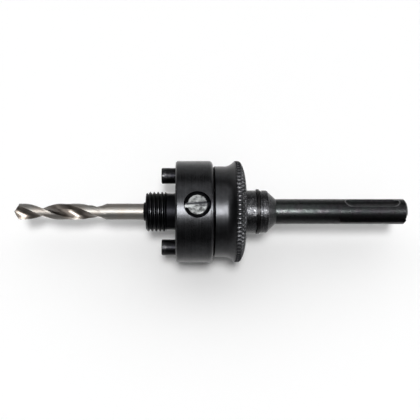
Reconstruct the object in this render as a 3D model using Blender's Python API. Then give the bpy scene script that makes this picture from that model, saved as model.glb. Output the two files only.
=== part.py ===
"""Hole saw arbor with a pilot drill, a sliding drive-pin sleeve and a slotted 10 mm hammer-drill shank.

Lengths are in metres. The arbor lies on its flange and on its sleeve's rim, with its axis along X and the
drill's point towards -X. Stations are distances along the axis from the flange's front face, positive towards
the shank. Angles round the axis start at +Z and grow towards +Y.
"""

import math

import bmesh
import bpy
from mathutils import Matrix, Vector

# Facets round each turned piece; sliding pieces share one count, so that their facets line up
TURNED_FACETS = 64
DRILL_FACETS = 36
HOLE_FACETS = 24

# Clearances
SEAT_GAP = 0.0003
SLIDE_GAP = 0.00015
BORE_GAP = 0.0001
SCREW_GAP = 0.0002

# Drive pins, and how far they stand out of the flange
PIN_RADIUS = 0.003175
PIN_CIRCLE_RADIUS = 0.0142875
PIN_REACH = 0.0057
PIN_CHAMFER = 0.0005

# Flange that carries the saw's base, with its edge outside the pins
FLANGE_EDGE = 0.0027375
FLANGE_THICKNESS = 0.01456
FLANGE_FRONT_CHAMFER = 0.0006
FLANGE_REAR_FILLET = 0.0015
FLANGE_RADIUS = PIN_CIRCLE_RADIUS + PIN_RADIUS + FLANGE_EDGE

# Set screw in the flange's rim
SCREW_OFFSET = 0.001
SCREW_TILT = math.radians(8)
SCREW_RADIUS = 0.0048
SCREW_SUNK = 0.0006
SCREW_CHAMFER = 0.0009
SCREW_DOG_LENGTH = 0.0031
SCREW_DOG_RADIUS = 0.0024
SCREW_SLOT_WIDTH = 0.0016
SCREW_SLOT_DEPTH = 0.0018
SCREW_SLOT_TURN = math.radians(4)
SCREW_STATION = FLANGE_THICKNESS / 2 + SCREW_OFFSET
SCREW_HOLE_RADIUS = SCREW_RADIUS + SCREW_GAP
SCREW_TOP = FLANGE_RADIUS - SCREW_SUNK

# Pilot drill; its flutes are measured from its tip
DRILL_RADIUS = 0.003175
DRILL_LENGTH = 0.08
DRILL_PAST_SCREW = 0.0071
DRILL_LEAD = 0.043
DRILL_WEB_RADIUS = 0.0007
DRILL_FLUTE_HALF_ANGLE = math.radians(62)
DRILL_FLUTE_LENGTH = 0.0374
DRILL_RUNOUT_LENGTH = 0.0148
DRILL_FLUTE_TURN = math.radians(-95)
DRILL_RING_STEP = 0.0011
DRILL_POINT_HALF_ANGLE = math.radians(59)
DRILL_POINT_RELIEF = 0.0013
DRILL_MARGIN_ANGLE = math.radians(14)
DRILL_BODY_RELIEF = 0.0001
DRILL_FLAT_DEPTH = 0.0006
DRILL_FLAT_LENGTH = 0.007
DRILL_CHAMFER = 0.0004
DRILL_REAR = SCREW_STATION + DRILL_PAST_SCREW
DRILL_TIP = DRILL_REAR - DRILL_LENGTH
DRILL_FLUTE_END = DRILL_TIP + DRILL_FLUTE_LENGTH
DRILL_FLAT_HEIGHT = DRILL_RADIUS - DRILL_FLAT_DEPTH
SCREW_SHOULDER = DRILL_FLAT_HEIGHT + SEAT_GAP + SCREW_DOG_LENGTH

# Pilot bore, and the short lip round its mouth
BORE_RADIUS = DRILL_RADIUS + BORE_GAP
BORE_END = DRILL_REAR + SEAT_GAP
LIP_LENGTH = 0.001
LIP_WALL = 0.0003
LIP_FLARE = 0.0003
LIP_RADIUS = BORE_RADIUS + LIP_WALL

# Threaded nose in front of the flange, left plain at the thread's outside radius
NOSE_RADIUS = 0.00794
NOSE_LENGTH = 0.0118
NOSE_CHAMFER = 0.0008
NECK_DEPTH = 0.0007
NECK_LENGTH = 0.0035

# Sleeve that carries the drive pins and slides on the boss; its rim stands as high as the flange
BOSS_RADIUS = 0.00845
SLEEVE_STANDOFF = 0.0004
SLEEVE_LENGTH = 0.0124
SLEEVE_TRAVEL = 0.0058
SLEEVE_EDGE_CHAMFER = 0.0003
FLARE_HEIGHT = 0.00215
FLARE_LENGTH = 0.005
FLARE_BEND_LENGTH = 0.0016
FLARE_BEND_HEIGHT = 0.0004
RIM_WIDTH = 0.0018
BACK_BEVEL_LENGTH = 0.0023
BACK_BEVEL_HEIGHT = 0.0066
BACK_BEND_LENGTH = 0.0005
BACK_BEND_HEIGHT = 0.002
PIN_SEAT_FLOOR = 0.0032
RIM_RADIUS = FLANGE_RADIUS
SLEEVE_RADIUS = RIM_RADIUS - FLARE_HEIGHT
SLEEVE_BORE_RADIUS = BOSS_RADIUS + SLIDE_GAP
SLEEVE_FRONT = FLANGE_THICKNESS + SLEEVE_STANDOFF
PIN_SEAT_DEPTH = SLEEVE_LENGTH - PIN_SEAT_FLOOR

# Retaining ring that stops the sleeve: the sleeve's recess passes over it
RECESS_DEPTH = 0.0015
RING_WIDTH = 0.0009
RING_HEIGHT = 0.00055
RING_GROOVE_DEPTH = 0.00085
RING_OPENING = math.radians(26)
RING_OPENING_ANGLE = math.radians(200)
RING_RADIUS = BOSS_RADIUS + RING_HEIGHT
RING_GROOVE_RADIUS = BOSS_RADIUS - RING_GROOVE_DEPTH
RECESS_RADIUS = RING_RADIUS + 2 * SEAT_GAP
RING_STATION = SLEEVE_FRONT + SLEEVE_LENGTH + SLEEVE_TRAVEL + SEAT_GAP - RECESS_DEPTH

# Ball detent between boss and sleeve
DETENT_SETBACK = 0.0074
DETENT_ANGLE = math.radians(90)
DETENT_GROOVE_DEPTH = 0.0004
BALL_RADIUS = 0.002
SPRING_WIRE_RADIUS = 0.00025
SPRING_COIL_INSET = 0.0005
SPRING_TURNS = 6
DETENT_STATION = SLEEVE_FRONT + DETENT_SETBACK
BALL_HOLE_RADIUS = BALL_RADIUS + BORE_GAP
BALL_HEIGHT = SLEEVE_BORE_RADIUS - BORE_GAP - BALL_RADIUS
SPRING_COIL_RADIUS = BALL_RADIUS - SPRING_COIL_INSET

# Boss behind the ring, with a fine turned line, and the cone down to the shank
LINE_SETBACK = 0.0005
LINE_WIDTH = 0.0004
LINE_DEPTH = 0.00025
BOSS_SETBACK = 0.00254
BOSS_FILLET = 0.001
CONE_LENGTH = 0.003
RING_GROOVE_END = RING_STATION + RING_WIDTH + SEAT_GAP
LINE_STATION = RING_GROOVE_END + LINE_SETBACK
BOSS_END = LINE_STATION + LINE_WIDTH + BOSS_SETBACK

# Shank for a slotted hammer-drill chuck; its grooves and slots are measured from its end
SHANK_RADIUS = 0.005
SHANK_LENGTH = 0.05175
SHANK_CHAMFER = 0.0008
LOCK_GROOVE_INSET = 0.0028
LOCK_GROOVE_LENGTH = 0.0216
LOCK_GROOVE_BALL_RADIUS = 0.0035
LOCK_GROOVE_DEPTH = 0.0012
LOCK_GROOVE_ANGLE = math.radians(51)
DRIVE_SLOT_LENGTH = 0.027
DRIVE_SLOT_WIDTH = 0.0028
DRIVE_SLOT_DEPTH = 0.0015
SHANK_END = BOSS_END + CONE_LENGTH + SHANK_LENGTH

# Place of the axis over the surface that the arbor lies on, and of the middle of its length
AXIS_HEIGHT = FLANGE_RADIUS * math.cos(math.pi / TURNED_FACETS)
MIDDLE_STATION = (SHANK_END + DRILL_TIP) / 2


def turn(angle):
    """Direction across the axis at an angle that starts at +Z and grows towards +Y."""
    return Vector((0, math.sin(angle), math.cos(angle)))


def material(name, colour, roughness, metallic):
    """Principled material with one colour."""
    result = bpy.data.materials.new(name)
    result.use_nodes = True
    shader = result.node_tree.nodes["Principled BSDF"]
    shader.inputs["Base Color"].default_value = (*colour, 1)
    shader.inputs["Roughness"].default_value = roughness
    shader.inputs["Metallic"].default_value = metallic
    return result


def fillet(centre_station, centre_radius, radius, start, end, steps=5):
    """Points of an arc in the turning plane; angle 0 points along the axis, 90 degrees away from it."""
    points = []
    for step in range(steps + 1):
        angle = math.radians(start + (end - start) * step / steps)
        station = centre_station + radius * math.cos(angle)
        points.append((station, centre_radius + radius * math.sin(angle)))
    return points


def smooth_curve(start, bend, end, steps):
    """Points of a curve from start to end that leaves and arrives along the lines to bend."""
    points = []
    for step in range(steps + 1):
        share = step / steps
        weights = ((1 - share) ** 2, 2 * share * (1 - share), share ** 2)
        points.append(tuple(sum(w * p[axis] for w, p in zip(weights, (start, bend, end))) for axis in (0, 1)))
    return points


def turned(profile, facets, closed=False):
    """Mesh turned about the X axis from (station, radius) points; a radius of 0 is a point on the axis.

    A facet's middle, and not its edge, faces each side, so that the piece can rest on a flat.
    """
    mesh = bmesh.new()
    rings = []
    for station, radius in profile:
        if radius == 0:
            rings.append([mesh.verts.new((station, 0, 0))] * facets)
            continue
        ring = []
        for facet in range(facets):
            across = radius * turn((facet + 0.5) * math.tau / facets)
            ring.append(mesh.verts.new((station, across.y, across.z)))
        rings.append(ring)
    pairs = list(zip(rings, rings[1:]))
    if closed:
        pairs.append((rings[-1], rings[0]))
    for near, far in pairs:
        join_rings(mesh, near, far)
    return mesh


def join_rings(mesh, near, far):
    """Faces between two rings of as many points; points that meet make a triangle."""
    count = len(near)
    for index in range(count):
        after = (index + 1) % count
        corners = [near[index], near[after], far[after], far[index]]
        distinct = [corner for place, corner in enumerate(corners) if corner not in corners[:place]]
        if len(distinct) > 2:
            mesh.faces.new(distinct)


def straight(radius, start, end, facets=HOLE_FACETS):
    """Solid round bar about the X axis from one station to another."""
    return turned([(start, 0), (start, radius), (end, radius), (end, 0)], facets)


def block(size_x, size_y, size_z):
    """Box centred on the origin."""
    mesh = bmesh.new()
    bmesh.ops.create_cube(mesh, size=1, matrix=Matrix.Diagonal((size_x, size_y, size_z, 1)))
    return mesh


def add_object(name, mesh, finish=None, location=(0, 0, 0), rotation=None):
    """Object made from a bmesh, with faces out and smooth shading over its round surfaces."""
    bmesh.ops.recalc_face_normals(mesh, faces=mesh.faces)
    data = bpy.data.meshes.new(name)
    mesh.to_mesh(data)
    mesh.free()
    data.shade_smooth()
    data.set_sharp_from_angle(angle=math.radians(30))
    if finish:
        data.materials.append(finish)
    result = bpy.data.objects.new(name, data)
    bpy.context.scene.collection.objects.link(result)
    result.parent = arbor_axis
    result.location = location
    if rotation:
        result.rotation_mode = "QUATERNION"
        result.rotation_quaternion = rotation
    return result


def add_boolean(target, name, mesh, operation="DIFFERENCE", location=(0, 0, 0), rotation=None,
                solver="EXACT"):
    """Cut a shape out of an object, or keep only what lies in it."""
    tool = add_object(f"{target.name}_{name}", mesh, None, location, rotation)
    tool.hide_render = True
    tool.display_type = "WIRE"
    cut = target.modifiers.new(name, "BOOLEAN")
    cut.operation = operation
    cut.solver = solver
    cut.object = tool


def along(direction):
    """Rotation that takes a shape's X axis to a direction."""
    return direction.to_track_quat("X", "Z")


def pin_seats():
    """Middle of each drive pin, across the axis."""
    return [turn(angle) * PIN_CIRCLE_RADIUS for angle in (math.radians(90), math.radians(270))]


def spindle_profile():
    """Outline of the spindle from the bottom of its pilot bore, round its outside, to its shank's end."""
    nose_front = -NOSE_LENGTH
    neck_radius = NOSE_RADIUS - NECK_DEPTH
    groove_front = RING_STATION - SEAT_GAP
    line_end = LINE_STATION + LINE_WIDTH
    rear_fillet = (FLANGE_THICKNESS - FLANGE_REAR_FILLET, FLANGE_RADIUS - FLANGE_REAR_FILLET)
    return [
        (BORE_END, 0),
        (BORE_END, BORE_RADIUS),
        (nose_front - LIP_LENGTH, BORE_RADIUS),
        (nose_front - LIP_LENGTH, LIP_RADIUS),
        (nose_front, LIP_RADIUS + LIP_FLARE),
        (nose_front, NOSE_RADIUS - NOSE_CHAMFER),
        (nose_front + NOSE_CHAMFER, NOSE_RADIUS),
        (-NECK_LENGTH - NECK_DEPTH, NOSE_RADIUS),
        (-NECK_LENGTH, neck_radius),
        (0, neck_radius),
        (0, FLANGE_RADIUS - FLANGE_FRONT_CHAMFER),
        (FLANGE_FRONT_CHAMFER, FLANGE_RADIUS),
        *fillet(*rear_fillet, FLANGE_REAR_FILLET, 90, 0),
        (FLANGE_THICKNESS, BOSS_RADIUS),
        (groove_front, BOSS_RADIUS),
        (groove_front, RING_GROOVE_RADIUS),
        (RING_GROOVE_END, RING_GROOVE_RADIUS),
        (RING_GROOVE_END, BOSS_RADIUS),
        (LINE_STATION, BOSS_RADIUS),
        (LINE_STATION, BOSS_RADIUS - LINE_DEPTH),
        (line_end, BOSS_RADIUS - LINE_DEPTH),
        (line_end, BOSS_RADIUS),
        *fillet(BOSS_END - BOSS_FILLET, BOSS_RADIUS - BOSS_FILLET, BOSS_FILLET, 90, 20, 4),
        (BOSS_END + CONE_LENGTH, SHANK_RADIUS),
        (SHANK_END - SHANK_CHAMFER, SHANK_RADIUS),
        (SHANK_END, SHANK_RADIUS - SHANK_CHAMFER),
        (SHANK_END, 0),
    ]


def make_spindle(finish):
    """Spindle with its flange, nose, boss and shank, and the holes for what it carries."""
    spindle = add_object("spindle", turned(spindle_profile(), TURNED_FACETS), finish)
    for number, seat in enumerate(pin_seats(), 1):
        hole = straight(PIN_RADIUS + SLIDE_GAP, -SEAT_GAP, FLANGE_THICKNESS + SEAT_GAP)
        add_boolean(spindle, f"pin_hole_{number}", hole, location=seat)
    screw_hole = straight(SCREW_HOLE_RADIUS, SCREW_SHOULDER - SEAT_GAP, FLANGE_RADIUS + SEAT_GAP)
    dog_hole = straight(SCREW_DOG_RADIUS + SEAT_GAP, 0, SCREW_SHOULDER)
    for name, hole in (("screw_hole", screw_hole), ("dog_hole", dog_hole)):
        add_boolean(spindle, name, hole, location=(SCREW_STATION, 0, 0), rotation=along(turn(SCREW_TILT)))
    # At some boss radii the exact solver leaves edges of this hole shared by more than two faces
    ball_hole = straight(BALL_HOLE_RADIUS, -BOSS_RADIUS - SEAT_GAP, BOSS_RADIUS + SEAT_GAP)
    add_boolean(spindle, "ball_hole", ball_hole, location=(DETENT_STATION, 0, 0),
                rotation=along(turn(DETENT_ANGLE)), solver="MANIFOLD")
    for side, half_turn in enumerate((0, math.pi), 1):
        add_lock_groove(spindle, side, LOCK_GROOVE_ANGLE + half_turn)
        add_drive_slot(spindle, side, LOCK_GROOVE_ANGLE - math.pi / 2 + half_turn)
    return spindle


def add_lock_groove(spindle, side, angle):
    """Closed groove with ball-shaped ends, in which the chuck's locking ball slides."""
    ball = LOCK_GROOVE_BALL_RADIUS
    centre_height = SHANK_RADIUS - LOCK_GROOVE_DEPTH + ball
    reach = math.sqrt(ball ** 2 - (centre_height - SHANK_RADIUS) ** 2)
    end = SHANK_END - LOCK_GROOVE_INSET - reach
    start = SHANK_END - LOCK_GROOVE_INSET - LOCK_GROOVE_LENGTH + reach
    profile = [(start - ball, 0), *fillet(start, 0, ball, 180, 90, 8)[1:]]
    profile += [*fillet(end, 0, ball, 90, 0, 8)[:-1], (end + ball, 0)]
    add_boolean(spindle, f"lock_groove_{side}", turned(profile, HOLE_FACETS),
                location=centre_height * turn(angle))


def add_drive_slot(spindle, side, angle):
    """Open slot with a round start, which takes the chuck's drive key."""
    length = DRIVE_SLOT_LENGTH + SEAT_GAP
    mesh = bmesh.new()
    half_width = DRIVE_SLOT_WIDTH / 2
    outline = [(length, -half_width), (length, half_width)]
    for step in range(9):
        bend = math.radians(90 + 180 * step / 8)
        outline.append((half_width + half_width * math.cos(bend), half_width * math.sin(bend)))
    floor = SHANK_RADIUS - DRIVE_SLOT_DEPTH
    bottom = [mesh.verts.new((x, y, floor)) for x, y in outline]
    top = [mesh.verts.new((x, y, SHANK_RADIUS + SEAT_GAP)) for x, y in outline]
    mesh.faces.new(bottom)
    mesh.faces.new(top)
    join_rings(mesh, bottom, top)
    rotation = Matrix.Rotation(-angle, 3, "X").to_quaternion()
    add_boolean(spindle, f"drive_slot_{side}", mesh, location=(SHANK_END - DRIVE_SLOT_LENGTH, 0, 0),
                rotation=rotation)


def sleeve_profile():
    """Closed outline of the sleeve's wall: front face, waist, flared rim, back, recess and grooved bore."""
    back = SLEEVE_LENGTH
    rim_end = back - BACK_BEVEL_LENGTH
    rim_start = rim_end - RIM_WIDTH
    recess_floor = back - RECESS_DEPTH
    groove_half = 2 * DETENT_GROOVE_DEPTH
    flare = smooth_curve(
        (rim_start - FLARE_LENGTH, SLEEVE_RADIUS),
        (rim_start - FLARE_BEND_LENGTH, SLEEVE_RADIUS + FLARE_BEND_HEIGHT),
        (rim_start, RIM_RADIUS), 6)
    back_bevel = smooth_curve(
        (rim_end, RIM_RADIUS),
        (back - BACK_BEND_LENGTH, RIM_RADIUS - BACK_BEND_HEIGHT),
        (back, RIM_RADIUS - BACK_BEVEL_HEIGHT), 5)
    bore = []
    for station in (DETENT_SETBACK, DETENT_SETBACK - SLEEVE_TRAVEL):
        bore += [
            (station + groove_half, SLEEVE_BORE_RADIUS),
            (station, SLEEVE_BORE_RADIUS + DETENT_GROOVE_DEPTH),
            (station - groove_half, SLEEVE_BORE_RADIUS),
        ]
    return [
        (0, SLEEVE_BORE_RADIUS),
        (0, SLEEVE_RADIUS - SLEEVE_EDGE_CHAMFER),
        (SLEEVE_EDGE_CHAMFER, SLEEVE_RADIUS),
        *flare,
        *back_bevel,
        (back, RECESS_RADIUS),
        (recess_floor, RECESS_RADIUS),
        (recess_floor, SLEEVE_BORE_RADIUS),
        *bore,
    ]


def make_sleeve(finish):
    """Sleeve that slides on the boss, with the blind seats of the drive pins."""
    sleeve = add_object("sliding_sleeve", turned(sleeve_profile(), TURNED_FACETS, closed=True), finish,
                        location=(SLEEVE_FRONT, 0, 0))
    for number, seat in enumerate(pin_seats(), 1):
        hole = straight(PIN_RADIUS + BORE_GAP, -SEAT_GAP, PIN_SEAT_DEPTH + SEAT_GAP)
        add_boolean(sleeve, f"pin_seat_{number}", hole, location=seat + Vector((SLEEVE_FRONT, 0, 0)))
    return sleeve


def make_pins(finish):
    """Two drive pins, from their seats in the sleeve out through the flange."""
    rear = SLEEVE_FRONT + PIN_SEAT_DEPTH
    profile = [
        (-PIN_REACH, 0),
        (-PIN_REACH, PIN_RADIUS - PIN_CHAMFER),
        (PIN_CHAMFER - PIN_REACH, PIN_RADIUS),
        (rear - PIN_CHAMFER, PIN_RADIUS),
        (rear, PIN_RADIUS - PIN_CHAMFER),
        (rear, 0),
    ]
    for number, seat in enumerate(pin_seats(), 1):
        add_object(f"drive_pin_{number}", turned(profile, HOLE_FACETS), finish, location=seat)


def make_set_screw(finish):
    """Slotted screw with a dog point that presses on the drill's flat."""
    dog_end = DRILL_FLAT_HEIGHT + SEAT_GAP
    profile = [
        (dog_end, 0),
        (dog_end, SCREW_DOG_RADIUS),
        (SCREW_SHOULDER, SCREW_DOG_RADIUS),
        (SCREW_SHOULDER, SCREW_RADIUS - SCREW_CHAMFER),
        (SCREW_SHOULDER + SCREW_CHAMFER, SCREW_RADIUS),
        (SCREW_TOP - SCREW_CHAMFER, SCREW_RADIUS),
        (SCREW_TOP, SCREW_RADIUS - SCREW_CHAMFER),
        (SCREW_TOP, 0),
    ]
    screw_axis = turn(SCREW_TILT)
    screw = add_object("set_screw", turned(profile, HOLE_FACETS), finish,
                       location=(SCREW_STATION, 0, 0), rotation=along(screw_axis))
    slot = block(2 * SCREW_RADIUS + SEAT_GAP, SCREW_SLOT_WIDTH, 2 * SCREW_SLOT_DEPTH)
    upright = Matrix.Rotation(-SCREW_TILT, 3, "X") @ Matrix.Rotation(SCREW_SLOT_TURN, 3, "Z")
    add_boolean(screw, "slot", slot, location=Vector((SCREW_STATION, 0, 0)) + SCREW_TOP * screw_axis,
                rotation=upright.to_quaternion())


def flute_depth(angle):
    """Depth of a full flute below the drill's outside, at an angle from the flute's middle."""
    if abs(angle) >= DRILL_FLUTE_HALF_ANGLE:
        return 0
    cosine = math.cos(DRILL_FLUTE_HALF_ANGLE)
    centre = (DRILL_RADIUS ** 2 - DRILL_WEB_RADIUS ** 2) / (2 * (DRILL_RADIUS * cosine - DRILL_WEB_RADIUS))
    wheel = centre - DRILL_WEB_RADIUS
    reach = max(wheel ** 2 - (centre * math.sin(angle)) ** 2, 0)
    return max(DRILL_RADIUS - (centre * math.cos(angle) - math.sqrt(reach)), 0)


def flute_lift(station):
    """How far the flutes' grinding wheel has risen out of the drill at a station."""
    share = (station - DRILL_FLUTE_END) / DRILL_RUNOUT_LENGTH + 1
    return (DRILL_RADIUS - DRILL_WEB_RADIUS) * min(max(share, 0), 1) ** 2


def drill_ring(station):
    """Radius at each angle round the drill at a station, from the middle of one flute on."""
    half = DRILL_FACETS // 2
    in_flute = int(half * 2 * DRILL_FLUTE_HALF_ANGLE / math.pi)
    on_land = half - in_flute
    land = math.pi - 2 * DRILL_FLUTE_HALF_ANGLE
    lift = flute_lift(station)
    relief = DRILL_BODY_RELIEF if lift < DRILL_RADIUS - DRILL_WEB_RADIUS else 0
    ring = []
    for flute in (0, math.pi):
        for step in range(in_flute + 1):
            angle = DRILL_FLUTE_HALF_ANGLE * (2 * step / in_flute - 1)
            ring.append((flute + angle, DRILL_RADIUS - max(flute_depth(angle) - lift, 0)))
        for step in range(1, on_land):
            angle = DRILL_MARGIN_ANGLE + (land - DRILL_MARGIN_ANGLE) * (step - 1) / (on_land - 1)
            radius = DRILL_RADIUS - (relief if step > 1 else 0)
            ring.append((flute + DRILL_FLUTE_HALF_ANGLE + angle, radius))
    return ring


def drill_twist(station):
    """Turn of the flutes about the axis at a station; they stop turning where they end."""
    return DRILL_FLUTE_TURN + math.tau * (min(station, DRILL_FLUTE_END) - DRILL_TIP) / DRILL_LEAD


def make_drill_body():
    """Drill blank with two helical flutes that run out, ahead of its point by one gap."""
    front = DRILL_TIP - SEAT_GAP
    count = math.ceil((DRILL_FLUTE_END - front) / DRILL_RING_STEP)
    stations = [front + (DRILL_FLUTE_END - front) * step / count for step in range(count + 1)]
    stations += [DRILL_REAR - DRILL_CHAMFER, DRILL_REAR]
    mesh = bmesh.new()
    rings = []
    for station in stations:
        shrink = DRILL_CHAMFER if station == DRILL_REAR else 0
        ring = []
        for angle, radius in drill_ring(station):
            bearing = angle + drill_twist(station)
            across = (radius - shrink) * Vector((0, math.cos(bearing), math.sin(bearing)))
            ring.append(mesh.verts.new((station, across.y, across.z)))
        rings.append(ring)
    for near, far in zip(rings, rings[1:]):
        join_rings(mesh, near, far)
    for ring in (rings[0], rings[-1]):
        middle = mesh.verts.new((ring[0].co.x, 0, 0))
        for index, vert in enumerate(ring):
            mesh.faces.new((middle, vert, ring[(index + 1) % len(ring)]))
    return mesh


def make_drill_point():
    """Solid that holds what the point grinding leaves: two flanks that fall away behind their lips."""
    steps = 16
    flank = math.radians(176)
    outer = DRILL_RADIUS * 1.2
    start = drill_twist(DRILL_TIP) + DRILL_FLUTE_HALF_ANGLE
    mesh = bmesh.new()
    front = []
    rear = []
    for lip in (0, math.pi):
        for step in range(steps + 1):
            bearing = start + lip + flank * step / steps
            fall = outer / math.tan(DRILL_POINT_HALF_ANGLE) + DRILL_POINT_RELIEF * step / steps
            across = (outer * math.cos(bearing), outer * math.sin(bearing))
            front.append(mesh.verts.new((DRILL_TIP + fall, *across)))
            rear.append(mesh.verts.new((DRILL_REAR + SEAT_GAP, *across)))
    join_rings(mesh, [mesh.verts.new((DRILL_TIP, 0, 0))] * len(front), front)
    join_rings(mesh, front, rear)
    mesh.faces.new(rear)
    return mesh


def make_pilot_drill(finish):
    """Twist drill with a ground point, a chamfered rear end and a flat for the set screw."""
    drill = add_object("pilot_drill", make_drill_body(), finish)
    add_boolean(drill, "point", make_drill_point(), operation="INTERSECT")
    flat = block(DRILL_FLAT_LENGTH, 2 * DRILL_RADIUS, DRILL_RADIUS)
    middle = (DRILL_FLAT_HEIGHT + DRILL_RADIUS / 2) * turn(SCREW_TILT)
    add_boolean(drill, "flat", flat, location=Vector((SCREW_STATION, 0, 0)) + middle,
                rotation=Matrix.Rotation(-SCREW_TILT, 3, "X").to_quaternion())


def make_retaining_ring(finish):
    """Open spring ring of rectangular wire in the boss's groove."""
    inner = RING_GROOVE_RADIUS + SEAT_GAP
    corners = [(0, inner), (0, RING_RADIUS), (RING_WIDTH, RING_RADIUS), (RING_WIDTH, inner)]
    steps = 60
    first = RING_OPENING_ANGLE + RING_OPENING / 2
    mesh = bmesh.new()
    sections = []
    for step in range(steps + 1):
        outward = turn(first + (math.tau - RING_OPENING) * step / steps)
        sections.append([mesh.verts.new((x, *(radius * outward)[1:])) for x, radius in corners])
    for near, far in zip(sections, sections[1:]):
        join_rings(mesh, near, far)
    mesh.faces.new(sections[0])
    mesh.faces.new(sections[-1])
    add_object("retaining_ring", mesh, finish, location=(RING_STATION, 0, 0))


def make_detent_balls(finish):
    """Two balls at the ends of the hole across the boss, one gap below the sleeve's bore."""
    for number, angle in enumerate((DETENT_ANGLE, DETENT_ANGLE + math.pi), 1):
        mesh = bmesh.new()
        bmesh.ops.create_uvsphere(mesh, u_segments=20, v_segments=12, radius=BALL_RADIUS)
        add_object(f"detent_ball_{number}", mesh, finish,
                   location=Vector((DETENT_STATION, 0, 0)) + BALL_HEIGHT * turn(angle))


def make_detent_spring(finish):
    """Coil spring that presses the two balls apart."""
    reach = BALL_RADIUS + SPRING_WIRE_RADIUS + SEAT_GAP
    half_length = BALL_HEIGHT - math.sqrt(reach ** 2 - SPRING_COIL_RADIUS ** 2)
    steps = 14 * SPRING_TURNS
    mesh = bmesh.new()
    rings = []
    for step in range(steps + 1):
        share = step / steps
        bearing = math.tau * SPRING_TURNS * share
        outward = Vector((0, math.cos(bearing), math.sin(bearing)))
        centre = SPRING_COIL_RADIUS * outward + Vector((half_length * (2 * share - 1), 0, 0))
        ring = []
        for corner in range(6):
            angle = math.tau * corner / 6
            offset = SPRING_WIRE_RADIUS * (math.cos(angle) * outward + Vector((math.sin(angle), 0, 0)))
            ring.append(mesh.verts.new(centre + offset))
        rings.append(ring)
    for near, far in zip(rings, rings[1:]):
        join_rings(mesh, near, far)
    mesh.faces.new(rings[0])
    mesh.faces.new(rings[-1])
    add_object("detent_spring", mesh, finish, location=(DETENT_STATION, 0, 0),
               rotation=along(turn(DETENT_ANGLE)))


for existing in list(bpy.data.objects):
    bpy.data.objects.remove(existing, do_unlink=True)

arbor_axis = bpy.data.objects.new("arbor_axis", None)
arbor_axis.location = (-MIDDLE_STATION, 0, AXIS_HEIGHT)
bpy.context.scene.collection.objects.link(arbor_axis)

make_spindle(material("black_oxide_spindle", (0.045, 0.045, 0.05), 0.35, 1))
make_sleeve(material("black_oxide_sleeve", (0.05, 0.05, 0.055), 0.35, 1))
make_pins(material("black_oxide_pin", (0.04, 0.04, 0.045), 0.35, 1))
make_set_screw(material("bright_screw", (0.6, 0.62, 0.62), 0.3, 1))
make_pilot_drill(material("ground_tool_steel", (0.62, 0.6, 0.57), 0.25, 1))
make_retaining_ring(material("dark_spring_steel", (0.08, 0.08, 0.085), 0.35, 1))
make_detent_balls(material("polished_ball", (0.7, 0.7, 0.72), 0.15, 1))
make_detent_spring(material("spring_wire", (0.4, 0.4, 0.42), 0.3, 1))
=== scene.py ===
"""Looks of the hole saw arbor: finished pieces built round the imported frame, with a camera and soft light.

Everything is in metres in the frame's own axes. Stations are distances along the arbor's axis from the
flange's front face, positive towards the shank, and places across the axis are worked out from the frame.
"""

import math

import bmesh
import bpy
from mathutils import Matrix, Vector


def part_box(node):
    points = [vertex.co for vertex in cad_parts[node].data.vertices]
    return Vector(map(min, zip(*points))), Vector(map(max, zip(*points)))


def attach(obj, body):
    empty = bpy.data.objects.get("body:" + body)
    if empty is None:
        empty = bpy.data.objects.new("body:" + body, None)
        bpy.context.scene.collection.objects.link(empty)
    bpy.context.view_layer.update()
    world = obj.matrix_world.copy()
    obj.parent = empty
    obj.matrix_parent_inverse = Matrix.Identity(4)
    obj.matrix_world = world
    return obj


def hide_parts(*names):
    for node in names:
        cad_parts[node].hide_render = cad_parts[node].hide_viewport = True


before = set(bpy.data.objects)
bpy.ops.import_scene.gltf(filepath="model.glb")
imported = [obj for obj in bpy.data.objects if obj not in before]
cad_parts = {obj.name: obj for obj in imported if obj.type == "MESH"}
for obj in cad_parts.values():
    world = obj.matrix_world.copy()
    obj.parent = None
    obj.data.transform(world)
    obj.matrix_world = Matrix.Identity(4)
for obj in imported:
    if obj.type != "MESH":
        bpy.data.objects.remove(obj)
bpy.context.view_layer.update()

bl_info = {
    "name": "Hole Saw Arbor",
    "version": (1, 0, 0),
    "blender": (4, 5, 0),
    "location": "View3D > Sidebar > Arbor",
    "description": "Builds the finished pieces of a hole saw arbor round its frame, and its studio",
    "category": "Object",
}

# Places that the frame gives
SPINDLE_LOW, SPINDLE_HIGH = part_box("spindle")
SLEEVE_LOW, SLEEVE_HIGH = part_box("sliding_sleeve")
DRILL_LOW, DRILL_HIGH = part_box("pilot_drill")
PIN_LOW, PIN_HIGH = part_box("drive_pin_1")
RING_LOW, RING_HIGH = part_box("retaining_ring")
AXIS_HEIGHT = (SPINDLE_LOW.z + SPINDLE_HIGH.z) / 2
RIM_RADIUS = AXIS_HEIGHT - SPINDLE_LOW.z

FORWARD = Vector((1, 0, 0))

# Flange and threaded nose; stations are counted from the flange's front face
SHANK_END = 0.09135
FLANGE_FACE = SPINDLE_HIGH.x - SHANK_END
FLANGE_THICKNESS = 0.01456
FLANGE_CHAMFER = 0.0006
FLANGE_FILLET = 0.0015
NOSE_RADIUS = 0.00794
NOSE_LENGTH = 0.0118
NOSE_CHAMFER = 0.0008
NECK_RADIUS = 0.00724
NECK_LENGTH = 0.0035
THREAD_END = -NECK_LENGTH + 0.0002
THREAD_FADE = 0.0008
LIP_LENGTH = 0.001
LIP_RADIUS = 0.003575
LIP_FLARE = 0.0003
BORE_RADIUS = 0.003275
BORE_PLAY = 0.0003
BORE_END = DRILL_HIGH.x - FLANGE_FACE + BORE_PLAY

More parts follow.
